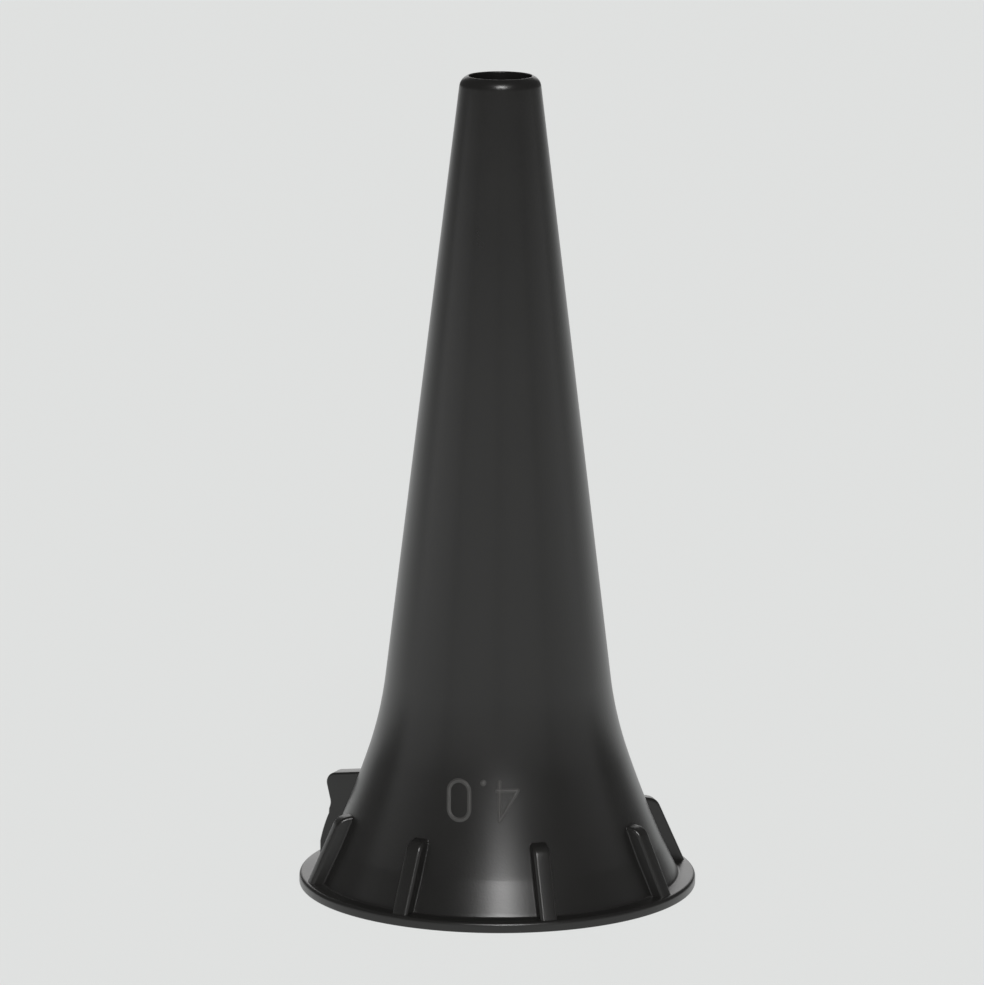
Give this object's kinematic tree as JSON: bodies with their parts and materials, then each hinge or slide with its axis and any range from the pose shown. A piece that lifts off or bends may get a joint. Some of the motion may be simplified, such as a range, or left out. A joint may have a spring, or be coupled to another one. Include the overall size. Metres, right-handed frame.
{
  "type": "ear speculum",
  "caption": "Slim conical ear speculum for an otoscope, with a flared ribbed skirt, a thin base flange, a bayonet lug and a rounded open tip.",
  "frame": {"origin": "centre of the flange's underside, on the funnel's axis", "axes": "+Z along the funnel's axis from the flange to the viewing tip; -Y is the side with the size mark; the first grip rib right of it stands 15.2 degrees from -Y towards +X"},
  "size_m": [0.0196, 0.0196, 0.0401],
  "materials": {
    "black_plastic": "satin"
  },
  "bodies": {
    "root": {"tip_lip": "black_plastic", "barrel": "black_plastic", "flare": "black_plastic", "skirt": "black_plastic", "base_flange": "black_plastic", "seat_collar": "black_plastic", "grip_rib_1": "black_plastic", "grip_rib_2": "black_plastic", "grip_rib_3": "black_plastic", "grip_rib_4": "black_plastic", "grip_rib_5": "black_plastic", "grip_rib_6": "black_plastic", "grip_rib_7": "black_plastic", "bayonet_lug": "black_plastic", "size_mark": "black_plastic"}
  },
  "joints": []
}
